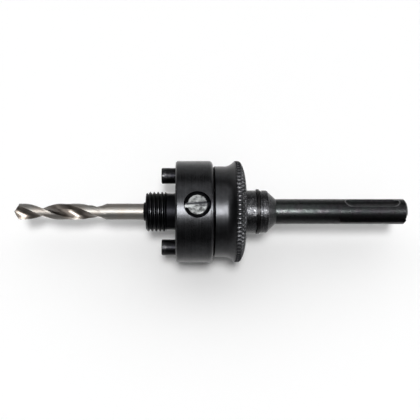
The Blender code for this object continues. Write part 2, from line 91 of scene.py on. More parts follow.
# Boss, cone and shank, with the chuck's grooves and slots
BOSS_RADIUS = 0.00845
BOSS_END = 0.0366
BOSS_FILLET = 0.001
CONE_LENGTH = 0.003
LINE_STATION = 0.03366
LINE_WIDTH = 0.0004
LINE_DEPTH = 0.00025
SHANK_RADIUS = 0.005
SHANK_CHAMFER = 0.0008
LOCK_GROOVE_START = 0.06695
LOCK_GROOVE_END = 0.08855
LOCK_GROOVE_BALL_RADIUS = 0.0035
LOCK_GROOVE_DEPTH = 0.0012
LOCK_GROOVE_ANGLE = math.radians(51)
DRIVE_SLOT_START = 0.06435
DRIVE_SLOT_WIDTH = 0.0028
DRIVE_SLOT_DEPTH = 0.0015

# Sleeve, drive pins, retaining ring and ball detent
SLEEVE_FRONT = SLEEVE_LOW.x - FLANGE_FACE
SLEEVE_LENGTH = SLEEVE_HIGH.x - SLEEVE_LOW.x
SLEEVE_RADIUS = 0.01805
SLEEVE_BORE_RADIUS = 0.0086
SLEEVE_EDGE = 0.0003
RIM_WIDTH = 0.0018
BEVEL_LENGTH = 0.0023
FLARE_LENGTH = 0.0036
KNURL_FLAT_SHARE = 0.2
RIM_END = SLEEVE_LENGTH - BEVEL_LENGTH
RIM_START = RIM_END - RIM_WIDTH
FLARE_START = RIM_START - FLARE_LENGTH
FLARE_BEND = (RIM_START - 0.00155, SLEEVE_RADIUS + 0.00032)
BACK_BEND = (SLEEVE_LENGTH - 0.0005, 0.0182)
BACK_RADIUS = 0.0136
RECESS_RADIUS = 0.0096
RECESS_DEPTH = 0.0015
PIN_RADIUS = (PIN_HIGH.z - PIN_LOW.z) / 2
PIN_CIRCLE_RADIUS = 0.0142875
PIN_EDGE = 0.0005
PIN_HOLE_RADIUS = PIN_RADIUS + 0.00015
PIN_HOLE_MOUTH = 0.0002
PIN_SEAT_RADIUS = PIN_RADIUS + 0.0001
PIN_SEAT_DEPTH = PIN_HIGH.x - SLEEVE_LOW.x
RING_STATION = RING_LOW.x - FLANGE_FACE
RING_WIDTH = RING_HIGH.x - RING_LOW.x
RING_RADIUS = 0.009
RING_GROOVE_RADIUS = 0.0076
RING_PLAY = 0.0003
RING_EDGE = 0.0001
RING_OPENING = math.radians(26)
RING_OPENING_ANGLE = math.radians(200)
DETENT_GROOVES = (0.0074, 0.0016)
DETENT_STATION = SLEEVE_FRONT + DETENT_GROOVES[0]
DETENT_GROOVE_DEPTH = 0.0004
BALL_HOLE_RADIUS = 0.0021

# Set screw
SCREW_STATION = 0.00828
SCREW_TILT = math.radians(8)
SCREW_RADIUS = 0.0048
SCREW_HOLE_RADIUS = 0.005
SCREW_HOLE_MOUTH = 0.0002
SCREW_HOLE_MOUTH_DEPTH = 0.0006
SCREW_HOLE_PLAY = 0.0003
SCREW_TOP = 0.0196
SCREW_SHOULDER = 0.005975
SCREW_EDGE = 0.0009
SCREW_TOP_EDGE = 0.0011
SCREW_DOG_END = 0.002875
SCREW_DOG_RADIUS = 0.0024
SCREW_SLOT_WIDTH = 0.0016
SCREW_SLOT_DEPTH = 0.0018
SCREW_SLOT_TURN = math.radians(4)

# Pilot drill
DRILL_RADIUS = 0.003175
DRILL_TIP = DRILL_LOW.x - FLANGE_FACE
DRILL_REAR = DRILL_HIGH.x - FLANGE_FACE
DRILL_LEAD = 0.043
DRILL_WEB_RADIUS = 0.0007
DRILL_FLUTE_HALF_ANGLE = math.radians(62)
DRILL_FLUTE_FLOOR_ANGLE = math.radians(-8)
DRILL_FLUTE_LENGTH = 0.0374
DRILL_FLUTE_END = DRILL_TIP + DRILL_FLUTE_LENGTH
DRILL_FLUTE_TURN = math.radians(-95)
DRILL_RUNOUT_LENGTH = 0.0148
DRILL_POINT_HALF_ANGLE = math.radians(59)
DRILL_POINT_RELIEF = 0.0013
DRILL_MARGIN_ANGLE = math.radians(14)
DRILL_BODY_RELIEF = 0.0001
DRILL_FLAT_HEIGHT = 0.002575
DRILL_FLAT_LENGTH = 0.007
DRILL_EDGE = 0.0004

# How fine the meshes are: facets round a piece, and the length of its rows where a pattern follows
SPINDLE_FACETS = 256
THREAD_ROW = 0.0001
FACETS_PER_DIAMOND = 12
KNURL_ROW = 0.0002
SCREW_FACETS = 128
ROUND_FACETS = 96
BAR_FACETS = 64
DRILL_FACETS = 144
DRILL_ROW = 0.0003
DRILL_POINT_STEPS = 64
RING_STEPS = 180
LONG_RUN = 0.0004
SHADING_ROW = 0.00003

# How far cutters stand out of what they cut, and how near points are to count as one
GAP = 0.0003
EPSILON = 1e-6

# Features to the metre in the finishes
FINE_MARKS = 9000
COARSE_MARKS = 2400
OXIDE_MOTTLE = 420
OXIDE_GRAIN = 2400

# Camera, lamps and floor, placed in the frame's own axes
CAMERA_PLACE = (-0.0094, 0.00064, 0.3002)
CAMERA_LENS = 60.05
CAMERA_SENSOR = 36
CAMERA_SHIFT = 0.0575
FLOOR_HALF_WIDTH = 3
SUN_SPREAD = math.radians(12)
SOFTBOX_X = -0.005
SOFTBOX_HEIGHT = 0.62
SOFTBOX_SIDES = (0.28, 0.195)
STRIP_AIM_X = 0.01
STRIP_DISTANCE = 0.6
STRIP_SIDES = (0.1, 0.5)
FILL_HEIGHT = 1.5
FILL_DIAMETER = 2.4


class Wire:
    """A node's socket that Python arithmetic extends with Math nodes."""

    def __init__(self, graph, socket):
        self.graph = graph
        self.socket = socket

    def math(self, operation, *others, clamp=False):
        settings = {"operation": operation, "use_clamp": clamp}
        return self.graph.node("ShaderNodeMath", settings, dict(enumerate((self, *others))))

    def __add__(self, other):
        return self.math("ADD", other)

    def __mul__(self, other):
        return self.math("MULTIPLY", other)

    def __sub__(self, other):
        return self.math("SUBTRACT", other)

    def __truediv__(self, other):
        return self.math("DIVIDE", other)

    def __rsub__(self, other):
        return (self * -1) + other

    __radd__ = __add__
    __rmul__ = __mul__

    def clamped(self):
        return self.math("ADD", 0, clamp=True)

    def above(self, place, fade):
        """0 below a place, 1 past it, with a smooth step between them."""
        return (self - place).smooth(0, fade)

    def larger(self, other):
        return self.math("MAXIMUM", other)

    def smooth(self, low, high):
        """0 below low, 1 above high, and a smooth step between them."""
        settings = {"interpolation_type": "SMOOTHSTEP"}
        return self.graph.node("ShaderNodeMapRange", settings,
                               {"Value": self, "From Min": low, "From Max": high})

    def zigzag(self):
        """0 at whole numbers and 1 halfway between them, with straight slopes."""
        return self.math("PINGPONG", 0.5) * 2


class Graph:
    """A node tree with one method that adds a node."""

    def __init__(self, tree):
        self.tree = tree

    def node(self, kind, settings=None, values=None, output=0):
        """Adds a node, sets its properties, then links or sets its inputs, and gives one output."""
        made = self.tree.nodes.new(kind)
        for name, value in (settings or {}).items():
            setattr(made, name, value)
        for name, value in (values or {}).items():
            socket = made.inputs[name]
            if isinstance(value, Wire):
                self.tree.links.new(value.socket, socket)
            else:
                socket.default_value = value
        return Wire(self, made.outputs[output])

    def place(self, vector):
        """The three parts of a vector."""
        split = self.node("ShaderNodeSeparateXYZ", None, {0: vector})
        return [Wire(self, output) for output in split.socket.node.outputs]

    def vector(self, x, y, z):
        return self.node("ShaderNodeCombineXYZ", None, {0: x, 1: y, 2: z})


class Finish(Graph):
    """A Principled material whose varying values come from Object coordinates."""

    def __init__(self, name):
        self.material = bpy.data.materials.new(name)
        self.material.use_nodes = True
        super().__init__(self.material.node_tree)
        self.shader = self.tree.nodes["Principled BSDF"]
        self.at = self.node("ShaderNodeTexCoord", output="Object")
        self.x, self.y, height = self.place(self.at)
        self.z = height - AXIS_HEIGHT
        self.radius = (self.y * self.y + self.z * self.z).math("SQRT")

    def noise(self, scale, detail):
        """Noise from 0 to 1, with scale counted in features to the metre."""
        return self.node("ShaderNodeTexNoise", None, {"Vector": self.at, "Scale": scale, "Detail": detail})

    def streaks(self, x, y, z, detail):
        """Noise from 0 to 1 that is drawn out: x, y and z are places times features to the metre."""
        return self.node("ShaderNodeTexNoise", None,
                         {"Vector": self.vector(x, y, z), "Scale": 1.0, "Detail": detail})

    def blend(self, share, first, second):
        """Colour that goes from the first to the second with a share from 0 to 1."""
        values = {0: share, 6: self.colour(first), 7: self.colour(second)}
        return self.node("ShaderNodeMix", {"data_type": "RGBA"}, values, output=2)

    @staticmethod
    def colour(value):
        return value if isinstance(value, Wire) else (*value, 1)

    def bump(self, height, distance):
        return self.node("ShaderNodeBump", None, {"Height": height, "Distance": distance})

    def set(self, **values):
        """Sets or links the shader's inputs; underscores stand for spaces."""
        for name, value in values.items():
            socket = self.shader.inputs[name.replace("_", " ")]
            if isinstance(value, Wire):
                self.tree.links.new(value.socket, socket)
            else:
                socket.default_value = self.colour(value) if isinstance(value, tuple) else value
        return self.material


def turning_marks(finish):
    """Fine lines left by the lathe: they run round the axis on round and on flat faces alike."""
    fine = finish.streaks(finish.x * FINE_MARKS, finish.radius * FINE_MARKS, finish.z * 25, 2.0)
    coarse = finish.streaks(finish.x * COARSE_MARKS, finish.radius * COARSE_MARKS, finish.z * 60, 1.0)
    return fine * 0.5 + coarse * 0.5


def oxide_tone(finish, colours, mottle, lines):
    """Black oxide over turned steel: near black, faintly mottled, rubbed lighter on the turning marks."""
    tone = finish.blend(mottle.smooth(0.35, 0.7), colours.oxide_dark, colours.oxide_light)
    return finish.blend(lines * 0.5, tone, colours.oxide_rubbed)


def pin_oxide(colours):
    """Blackened drive pins, mottled at their front ends and darkened with painted shade behind them, so that
    only the front ends show a highlight.
    """
    finish = Finish("black_oxide_pin")
    mottle = finish.noise(1400, 3.0)
    tone = finish.blend(mottle.smooth(0.4, 0.7), colours.oxide_dark, colours.oxide_rubbed)
    # Painted shade: behind its front end each pin darkens towards the dull black.
    behind = finish.x.above(PIN_LOW.x + 0.001, 0.0014)
    return finish.set(
        Base_Color=finish.blend(behind * 0.75, tone, colours.dull_black_and_painted_shade),
        Metallic=1.0,
        Roughness=mottle * 0.2 + 0.3,
        Normal=finish.bump(mottle, 0.000008),
    )


def sleeve_oxide(colours, sizes):
    """Blackened sleeve, worn to a lighter tone on the knurl's diamonds, painted lighter on the bevel's row as
    a painted highlight, with painted shade in the knurl's grooves.
    """
    finish = Finish("black_oxide_sleeve")
    mottle = finish.noise(OXIDE_MOTTLE, 4.0)
    grain = finish.noise(OXIDE_GRAIN, 2.0)
    lines = turning_marks(finish)
    tone = oxide_tone(finish, colours, mottle, lines)
    station = finish.x - station_x(SLEEVE_FRONT + RIM_START)
    run = station + (RIM_RADIUS - finish.radius)
    turn = finish.z.math("ARCTAN2", finish.y) / math.tau
    height = knurl_height(turn, run, sizes.knurl_count, sizes.knurl_length, sizes.knurl_first)
    worn = (height * 1.3 + mottle * 0.3).smooth(0.85, 1.3)
    # Painted shade: the knurl's grooves are darkened towards the dull black.
    groove = 1 - height.smooth(0.1, 0.45)
    bevel = run.above(RIM_WIDTH, 0.0008)
    knurled = station.smooth(-0.0001, 0.0002) * (sizes.knurl_run - run).smooth(0, 0.0005)
    tone = finish.blend(groove * knurled * 0.55, tone, colours.dull_black_and_painted_shade)
    return finish.set(
        # Worn diamond tops, painted lighter on the bevel's row than on the rim as a painted highlight.
        Base_Color=finish.blend(worn * knurled * (bevel * 0.45 + 0.55), tone, colours.worn_steel_and_highlight),
        Metallic=1.0,
        Roughness=lines * 0.12 + grain * 0.1 + 0.21 + knurled * (0.18 - worn * 0.2),
        Normal=finish.bump(lines + grain, 0.000004),
    )


def groove_wear_and_highlight(finish):
    """Share from 0 to 1 of wear, with a painted highlight, along the edges of the two closed grooves in the
    shank.
    """
    sine, cosine = math.sin(LOCK_GROOVE_ANGLE), math.cos(LOCK_GROOVE_ANGLE)
    middle, reach = lock_groove_path()
    outward = (finish.y * sine + finish.z * cosine).math("ABSOLUTE")
    side = finish.y * cosine - finish.z * sine
    height = outward - (SHANK_RADIUS - LOCK_GROOVE_DEPTH + LOCK_GROOVE_BALL_RADIUS)
    past_end = ((finish.x - station_x(middle)).math("ABSOLUTE") - reach).larger(0)
    distance = (side * side + height * height + past_end * past_end).math("SQRT")
    edge = 1 - (distance - LOCK_GROOVE_BALL_RADIUS).math("ABSOLUTE").smooth(0.00006, 0.0002)
    outside = finish.radius.above(SHANK_RADIUS - 0.0002, 0.0001)
    return edge * outside * (past_end.smooth(0.0001, 0.0006) * 0.65 + 0.35)


def shank_tone(finish, colours, streaks):
    """Black oxide over drawn steel, in streaks, with blue-green and purple patches."""
    patches = finish.noise(260, 3.0)
    tint = finish.blend(patches.smooth(0.4, 0.62), colours.oxide_teal, colours.oxide_purple)
    return finish.blend(streaks.smooth(0.3, 0.75), tint, colours.oxide_light)


def spindle_oxide(colours):
    """Blackened spindle: turned up to its cone and drawn behind it, dull on the nose, darkened towards the
    shank's end by painted shade, worn on its edges with a painted highlight along the grooves.
    """
    finish = Finish("black_oxide_spindle")
    grain = finish.noise(OXIDE_GRAIN, 2.0)
    lines = turning_marks(finish)
    streaks = finish.streaks(finish.x * 250, finish.y * 5000, finish.z * 5000, 3.0)
    shank = finish.x.above(station_x(BOSS_END), CONE_LENGTH)
    behind = finish.x.above(station_x(SLEEVE_FRONT), 0.001)
    boss = behind * (1 - shank)
    head = oxide_tone(finish, colours, finish.noise(OXIDE_MOTTLE, 4.0), lines)
    tone = finish.blend(shank, head, shank_tone(finish, colours, streaks))
    relief = lines + (streaks - lines) * shank

    crest = finish.radius.above(NOSE_RADIUS - 0.00015, 0.0001)
    dull = (station_x(0) - finish.x).smooth(0, 0.0003) * (1 - crest * 0.8)
    # Painted shade: the shank darkens towards its end, where the highlight fades.
    painted_shade_to_shank_end = (finish.x - station_x(BOSS_END)).smooth(0.006, 0.034)
    spots = finish.noise(900, 3.0).smooth(0.42, 0.62) * behind
    dark = (dull * 0.9 + painted_shade_to_shank_end * 0.45 + spots * 0.3).clamped()
    sparkle = grain.smooth(0.52, 0.68) * boss
    # Worn groove edges with a painted highlight along them, and random lighter specks on the boss.
    worn = groove_wear_and_highlight(finish).larger(sparkle * 0.7)
    return finish.set(
        Base_Color=finish.blend(worn, finish.blend(dark, tone, colours.dull_black_and_painted_shade), colours.worn_steel_and_highlight),
        Metallic=1.0,
        Roughness=relief * 0.13 + grain * 0.1 + dull * 0.16 + spots * 0.08 + 0.17,
        Normal=finish.bump(relief + grain * (behind * 4 + boss * 9 + 0.6), 0.000005),
    )


def ground_steel(colours):
    """Ground high-speed steel with a warm cast and grinding lines round the drill."""
    finish = Finish("ground_tool_steel")
    lines = finish.streaks(finish.x * 7000, finish.y * 400, finish.z * 400, 2.0)
    heat = finish.noise(150, 2.0)
    tone = finish.blend(heat.smooth(0.35, 0.7), colours.steel_cool, colours.steel_warm)
    flute = (DRILL_RADIUS - 0.00015 - finish.radius).smooth(0, 0.0003)
    return finish.set(
        Base_Color=finish.blend(flute * 0.6, tone, colours.steel_flute),
        Metallic=1.0,
        Roughness=lines * 0.14 + 0.42 - flute * 0.16,
        Normal=finish.bump(lines, 0.000003),
    )


def bright_plating(colours):
    """Bright plated screw, a little scuffed where the driver has turned it, with painted shade round its
    head, along one wall of its slot and towards the slot's far end.
    """
    finish = Finish("bright_screw")
    scuffs = finish.streaks(finish.x * 300, finish.y * 3000, finish.z * 800, 4.0)
    cloud = finish.noise(700, 4.0)
    along = finish.x - station_x(SCREW_STATION)
    side = finish.y * math.cos(SCREW_TILT) - finish.z * math.sin(SCREW_TILT)
    over_slot = side * math.cos(SCREW_SLOT_TURN) - along * math.sin(SCREW_SLOT_TURN)
    half = SCREW_SLOT_WIDTH / 2
    in_slot = 1 - over_slot.math("ABSOLUTE").above(half, 0.0001)
    scraped = in_slot * (1 - along.smooth(-0.003, 0))
    # Painted shade: the slot's floor darkens towards its end on the shank's side.
    unlit = in_slot * along.smooth(-0.0008, 0.0014)
    # Painted shade: a dark line along one wall of the slot.
    corner = in_slot * over_slot.above(half - 0.00045, 0.0001)
    # Painted shade: the ring round the flat of the screw's head, where the gap round the screw falls dark, is
    # darkened, except at the slot's bright end.
    chamfer = (along * along + side * side).math("SQRT").above(SCREW_RADIUS - SCREW_TOP_EDGE - 0.0001, 0.0002)
    thread = chamfer * (1 - scraped)
    tone = finish.blend(cloud.smooth(0.38, 0.62), colours.plate_dark, colours.plate_light)
    tone = finish.blend(scraped * 0.6, tone, colours.plate_scraped)
    return finish.set(
        Base_Color=finish.blend(thread.larger(corner).larger(unlit * 0.55) * 0.92, tone, colours.dull_black_and_painted_shade),
        Metallic=1.0,
        Roughness=scuffs * 0.3 + thread * 0.4 + 0.15,
        Normal=finish.bump(scuffs, 0.00002),
    )


def polished_ball(colours):
    """Polished bearing ball."""
    finish = Finish("polished_ball")
    return finish.set(Base_Color=tuple(colours.plate_light), Metallic=1.0, Roughness=0.12)


def spring_steel(colours, name="spring_steel"):
    """Dark tempered spring steel."""
    finish = Finish(name)
    cloud = finish.noise(500, 3.0)
    return finish.set(
        Base_Color=finish.blend(cloud, colours.dull_black_and_painted_shade, colours.spring_tint),
        Metallic=1.0,
        Roughness=cloud * 0.15 + 0.25,
    )


def station_x(station):
    return FLANGE_FACE + station


def across(angle):
    """Direction across the axis; angle 0 is +Z and it grows towards +Y."""
    return Vector((0, math.sin(angle), math.cos(angle)))


def axis_point(station):
    return Vector((station_x(station), 0, AXIS_HEIGHT))


def arc(centre_station, centre_radius, radius, start, end, steps):
    """Points of an arc in the turning plane, from start to end in degrees."""
    points = []
    for step in range(steps + 1):
        angle = math.radians(start + (end - start) * step / steps)
        points.append((centre_station + radius * math.cos(angle), centre_radius + radius * math.sin(angle)))
    return points


def bend_curve(start, bend, end, steps):
    """Curve from start to end that leaves and arrives along its lines to bend."""
    points = []
    for step in range(steps + 1):
        share = step / steps
        weights = ((1 - share) ** 2, 2 * share * (1 - share), share ** 2)
        points.append(tuple(sum(w * p[part] for w, p in zip(weights, (start, bend, end))) for part in (0, 1)))
    return points


def refine(points, step):
    """Splits the runs of an outline so that no run is longer than a step."""
    result = [points[0]]
    for (x0, r0), (x1, r1) in zip(points, points[1:]):
        count = max(1, math.ceil(math.hypot(x1 - x0, r1 - r0) / step))
        result += [(x0 + (x1 - x0) * i / count, r0 + (r1 - r0) * i / count) for i in range(1, count + 1)]
    return result


def join_rings(mesh, near, far):
    """Faces between two rings of as many points; points that meet make a triangle."""
    for index, corner in enumerate(near):
        after = (index + 1) % len(near)
        corners = [corner, near[after], far[after], far[index]]
        distinct = [c for place, c in enumerate(corners) if c not in corners[:place]]
        if len(distinct) > 2:
            mesh.faces.new(distinct)


def held(points, closed=False):
    """Outline with a row close to each end of its long runs, so that shading stays flat along them."""
    result = []
    for start, end in zip(points, points[1:] + (points[:1] if closed else [])):
        start, run = Vector(start), Vector(end) - Vector(start)
        result.append(tuple(start))
        if run.length > LONG_RUN:
            row = run.normalized() * SHADING_ROW
            result += [tuple(start + row), tuple(start + run - row)]
    return result if closed else result + [tuple(points[-1])]


def spun(profile, middle_at, side, other, segments, closed=False):
    """Mesh turned about a line from (distance, radius) points; middle_at gives its point at a distance."""
    mesh = bmesh.new()
    rings = []
    for distance, radius in held(profile, closed):
        middle = middle_at(distance)
        if radius == 0:
            rings.append([mesh.verts.new(middle)] * segments)
            continue
        ring = []
        for segment in range(segments):
            angle = math.tau * segment / segments
            ring.append(mesh.verts.new(middle + radius * (math.cos(angle) * side + math.sin(angle) * other)))
        rings.append(ring)
    for near, far in zip(rings, rings[1:] + (rings[:1] if closed else [])):
        join_rings(mesh, near, far)
    return mesh


def turned(profile, segments, closed=False):
    """Mesh turned about the arbor's axis from (station, radius) points."""
    return spun(profile, axis_point, across(0), across(math.pi / 2), segments, closed)


def placed_bar(profile, direction, base, segments=BAR_FACETS):
    """Solid turned about a line of its own from (distance, radius) points, starting at a base point."""
    side = direction.orthogonal().normalized()
    return spun(profile, lambda distance: base + distance * direction, side, direction.cross(side), segments)


def bar(radius, direction, base, start, end):
    return placed_bar([(start, 0), (start, radius), (end, radius), (end, 0)], direction, base)


def block(size, middle, turn):
    """Block of a size, turned about its middle."""
    mesh = bmesh.new()
    matrix = Matrix.Translation(middle) @ turn @ Matrix.Diagonal((*size, 1))
    bmesh.ops.create_cube(mesh, size=1, matrix=matrix)
    return mesh


def new_object(name, mesh):
    """Object from a bmesh, with its faces pointing out."""
    bmesh.ops.remove_doubles(mesh, verts=mesh.verts, dist=EPSILON)
    bmesh.ops.recalc_face_normals(mesh, faces=mesh.faces)
    data = bpy.data.meshes.new(name)
    mesh.to_mesh(data)
    mesh.free()
    result = bpy.data.objects.new(name, data)
    bpy.context.scene.collection.objects.link(result)
    return result


def merged(meshes):
    """One bmesh from several that don't touch."""
    result = bmesh.new()
    for mesh in meshes:
        bmesh.ops.recalc_face_normals(mesh, faces=mesh.faces)
        data = bpy.data.meshes.new("part_of_a_cutter")
        mesh.to_mesh(data)
        mesh.free()
        result.from_mesh(data)
        bpy.data.meshes.remove(data)
    return result


def settle(piece):
    """Turns what a piece's modifiers make into its own plain mesh."""
    evaluated = piece.evaluated_get(bpy.context.evaluated_depsgraph_get())
    data = bpy.data.meshes.new_from_object(evaluated)
    data.name = piece.name
    piece.modifiers.clear()
    piece.data = data
    return piece


def cut(piece, *meshes, operation="DIFFERENCE"):
    """Cuts shapes that don't touch each other out of a piece, or keeps only what lies in them."""
    tool = new_object("cutter", merged(meshes))
    modifier = piece.modifiers.new("cut", "BOOLEAN")
    modifier.solver = "MANIFOLD"
    modifier.operation = operation
    modifier.object = tool
    settle(piece)
    bpy.data.objects.remove(tool)


def finish_piece(piece, finish, body, slot, *nodes, sharp=30):
    """Shades a piece, gives it its material and sets it on its body in place of its nodes."""
    piece.data.materials.clear()
    piece.data.materials.append(finish)
    piece.data.shade_smooth()
    piece.data.set_sharp_from_angle(angle=math.radians(sharp))
    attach(piece, body)
    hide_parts(*nodes)


def eased(points, setback, closed=False, steps=4):
    """Outline with each corner rounded over a short setback; the ends of an open outline stay."""
    result = []
    count = len(points)
    for place, corner in enumerate(points):
        if not closed and place in (0, count - 1):
            result.append(corner)
            continue
        corner = Vector(corner)
        before = Vector(points[place - 1]) - corner
        after = Vector(points[(place + 1) % count]) - corner
        if math.pi - before.angle(after) < math.radians(20):
            result.append(tuple(corner))
            continue
        start = corner + before.normalized() * min(setback, before.length * 0.4)
        end = corner + after.normalized() * min(setback, after.length * 0.4)
        result += bend_curve(start, corner, end, steps)
    return result


class Shaping(Graph):
    """Geometry Nodes that press a pattern into a turned blank; the named inputs hold its sizes."""

    def __init__(self, name, *sizes):
        super().__init__(bpy.data.node_groups.new(name, "GeometryNodeTree"))
        sockets = self.tree.interface
        sockets.new_socket("Blank", in_out="INPUT", socket_type="NodeSocketGeometry")
        sockets.new_socket("Finish", in_out="INPUT", socket_type="NodeSocketMaterial")
        for size in sizes:
            sockets.new_socket(size, in_out="INPUT", socket_type="NodeSocketFloat")
        sockets.new_socket("Piece", in_out="OUTPUT", socket_type="NodeSocketGeometry")
        self.entry = self.tree.nodes.new("NodeGroupInput")
        x, self.y, z = self.place(self.node("GeometryNodeInputPosition"))
        self.station = x - FLANGE_FACE
        self.z = z - AXIS_HEIGHT
        self.radius = (self.y * self.y + self.z * self.z).math("SQRT")
        self.turn = self.z.math("ARCTAN2", self.y) / math.tau

    def size(self, name):
        return Wire(self, self.entry.outputs[name])

    def press(self, direction, depth):
        """Moves the blank's points against a direction and ends the tree."""
        shift = self.node("ShaderNodeVectorMath", {"operation": "SCALE"}, {0: direction, "Scale": depth * -1})
        moved = self.node("GeometryNodeSetPosition", None,
                          {"Geometry": self.size("Blank"), "Offset": shift})
        real = self.node("GeometryNodeRealizeInstances", None, {"Geometry": moved})
        done = self.node("GeometryNodeSetMaterial", None, {"Geometry": real, "Material": self.size("Finish")})
        self.tree.links.new(done.socket, self.tree.nodes.new("NodeGroupOutput").inputs["Piece"])

    def apply(self, piece, finish, **sizes):
        """Shapes a piece with sizes given by their names, where underscores stand for spaces."""
        modifier = piece.modifiers.new("shape", "NODES")
        modifier.node_group = self.tree
        values = {name.replace("_", " "): float(value) for name, value in sizes.items()}
        values["Finish"] = finish
        for socket in self.tree.interface.items_tree:
            if socket.name in values:
                modifier[socket.identifier] = values[socket.name]
        return settle(piece)


def thread_shaping():
    """Right-hand thread: straight flanks between narrow flats at crest and root, fading at its end."""
    shaping = Shaping("nose_thread", "Pitch", "Depth", "Start", "End", "Flat Share")
    start, end = shaping.size("Start"), shaping.size("End")
    flat = shaping.size("Flat Share")
    phase = (shaping.station - start) / shaping.size("Pitch") - shaping.turn
    groove = ((phase.zigzag() - flat) / (1 - flat * 2)).clamped()
    fade = (end - shaping.station).smooth(0, THREAD_FADE)
    floor = NOSE_RADIUS - shaping.size("Depth") * groove * fade
    inside = shaping.station.math("LESS_THAN", end)
    depth = (shaping.radius - floor).larger(0) * inside
    outward = shaping.vector(0, shaping.y / shaping.radius, shaping.z / shaping.radius)
    shaping.press(outward, depth)
    return shaping


def knurl_height(turn, run, count, length, first):
    """Height from 0 to 1 of a diamond knurl: two crossing sets of slanted grooves."""
    along = (run - first) / length
    around = turn * count
    return (around + along).zigzag().math("MINIMUM", (around - along).zigzag())


def knurl_shaping():
    """Diamond knurl round the rim and down its back bevel."""
    shaping = Shaping("rim_knurl", "Count", "Length", "First", "Depth", "Start", "Run", "Flat Share")
    run = shaping.station - shaping.size("Start") + (RIM_RADIUS - shaping.radius)
    height = knurl_height(shaping.turn, run, shaping.size("Count"), shaping.size("Length"),
                          shaping.size("First"))
    height = (height / (1 - shaping.size("Flat Share"))).clamped()
    first = run.smooth(-0.0001, 0.0002)
    last = (shaping.size("Run") - run).smooth(-0.0001, 0.0003)
    outside = shaping.radius.math("GREATER_THAN", BACK_RADIUS)
    inside = shaping.station.math("GREATER_THAN", shaping.size("Start") - 0.0002)
    shaping.press(shaping.node("GeometryNodeInputNormal"),
                  (1 - height) * shaping.size("Depth") * first * last * outside * inside)
    return shaping


def spindle_outline(edge):
    """Outline of the spindle, with fine rows along its nose for the thread."""
    nose = -NOSE_LENGTH
    ring_front = RING_STATION - RING_PLAY
    ring_rear = RING_STATION + RING_WIDTH + RING_PLAY
    head = [
        (BORE_END, 0),
        (BORE_END, BORE_RADIUS),
        (nose - LIP_LENGTH, BORE_RADIUS),
        (nose - LIP_LENGTH, LIP_RADIUS),
        (nose, LIP_RADIUS + LIP_FLARE),
        (nose, NOSE_RADIUS - NOSE_CHAMFER),
    ]
    threaded = refine([
        (nose, NOSE_RADIUS - NOSE_CHAMFER),
        (nose + NOSE_CHAMFER, NOSE_RADIUS),
        (-NECK_LENGTH - (NOSE_RADIUS - NECK_RADIUS), NOSE_RADIUS),
        (-NECK_LENGTH, NECK_RADIUS),
    ], THREAD_ROW)
    fillet_centre = (FLANGE_THICKNESS - FLANGE_FILLET, RIM_RADIUS - FLANGE_FILLET)
    rest = [
        (-NECK_LENGTH, NECK_RADIUS),
        (0, NECK_RADIUS),
        (0, RIM_RADIUS - FLANGE_CHAMFER),
        (FLANGE_CHAMFER, RIM_RADIUS),
        *arc(*fillet_centre, FLANGE_FILLET, 90, 0, 16),
        (FLANGE_THICKNESS, BOSS_RADIUS),
        (ring_front, BOSS_RADIUS),
        (ring_front, RING_GROOVE_RADIUS),
        (ring_rear, RING_GROOVE_RADIUS),
        (ring_rear, BOSS_RADIUS),
        (LINE_STATION, BOSS_RADIUS),
        (LINE_STATION, BOSS_RADIUS - LINE_DEPTH),
        (LINE_STATION + LINE_WIDTH, BOSS_RADIUS - LINE_DEPTH),
        (LINE_STATION + LINE_WIDTH, BOSS_RADIUS),
        *arc(BOSS_END - BOSS_FILLET, BOSS_RADIUS - BOSS_FILLET, BOSS_FILLET, 90, 20, 10),
        (BOSS_END + CONE_LENGTH, SHANK_RADIUS),
        (SHANK_END - SHANK_CHAMFER, SHANK_RADIUS),
        (SHANK_END, SHANK_RADIUS - SHANK_CHAMFER),
        (SHANK_END, 0),
    ]
    return eased(head, edge)[:-1] + threaded[:-1] + eased(rest, edge)


def pin_seats():
    """Middle of each drive pin across the axis, on the flange's front face."""
    return [axis_point(0) + side * PIN_CIRCLE_RADIUS * across(math.pi / 2) for side in (1, -1)]


def lock_groove_path():
    """Middle station of a closed groove, and how far the ball that cuts it goes to either side."""
    ball = LOCK_GROOVE_BALL_RADIUS
    overlap = math.sqrt(ball ** 2 - (ball - LOCK_GROOVE_DEPTH) ** 2)
    return (LOCK_GROOVE_START + LOCK_GROOVE_END) / 2, (LOCK_GROOVE_END - LOCK_GROOVE_START) / 2 - overlap


def lock_groove(angle):
    """What the closed groove with ball-shaped ends takes out of the shank."""
    ball = LOCK_GROOVE_BALL_RADIUS
    height = SHANK_RADIUS - LOCK_GROOVE_DEPTH + ball
    middle, reach = lock_groove_path()
    start, length = middle - reach, 2 * reach
    profile = arc(0, 0, ball, 180, 90, 16) + arc(length, 0, ball, 90, 0, 16)
    profile[0] = (-ball, 0)
    profile[-1] = (length + ball, 0)
    return placed_bar(profile, FORWARD, axis_point(start) + height * across(angle), ROUND_FACETS)


def drive_slot(angle):
    """What the open slot with a round start takes out of the shank."""
    half = DRIVE_SLOT_WIDTH / 2
    outline = [(SHANK_END + GAP, -half), (SHANK_END + GAP, half)]
    outline += arc(DRIVE_SLOT_START + half, 0, half, 90, 270, 24)
    out, side = across(angle), across(angle + math.pi / 2)
    mesh = bmesh.new()
    rings = []
    for height in (SHANK_RADIUS - DRIVE_SLOT_DEPTH, SHANK_RADIUS + GAP):
        rings.append([mesh.verts.new(axis_point(x) + y * side + height * out) for x, y in outline])
    join_rings(mesh, *rings)
    for ring in rings:
        mesh.faces.new(ring)
    return mesh


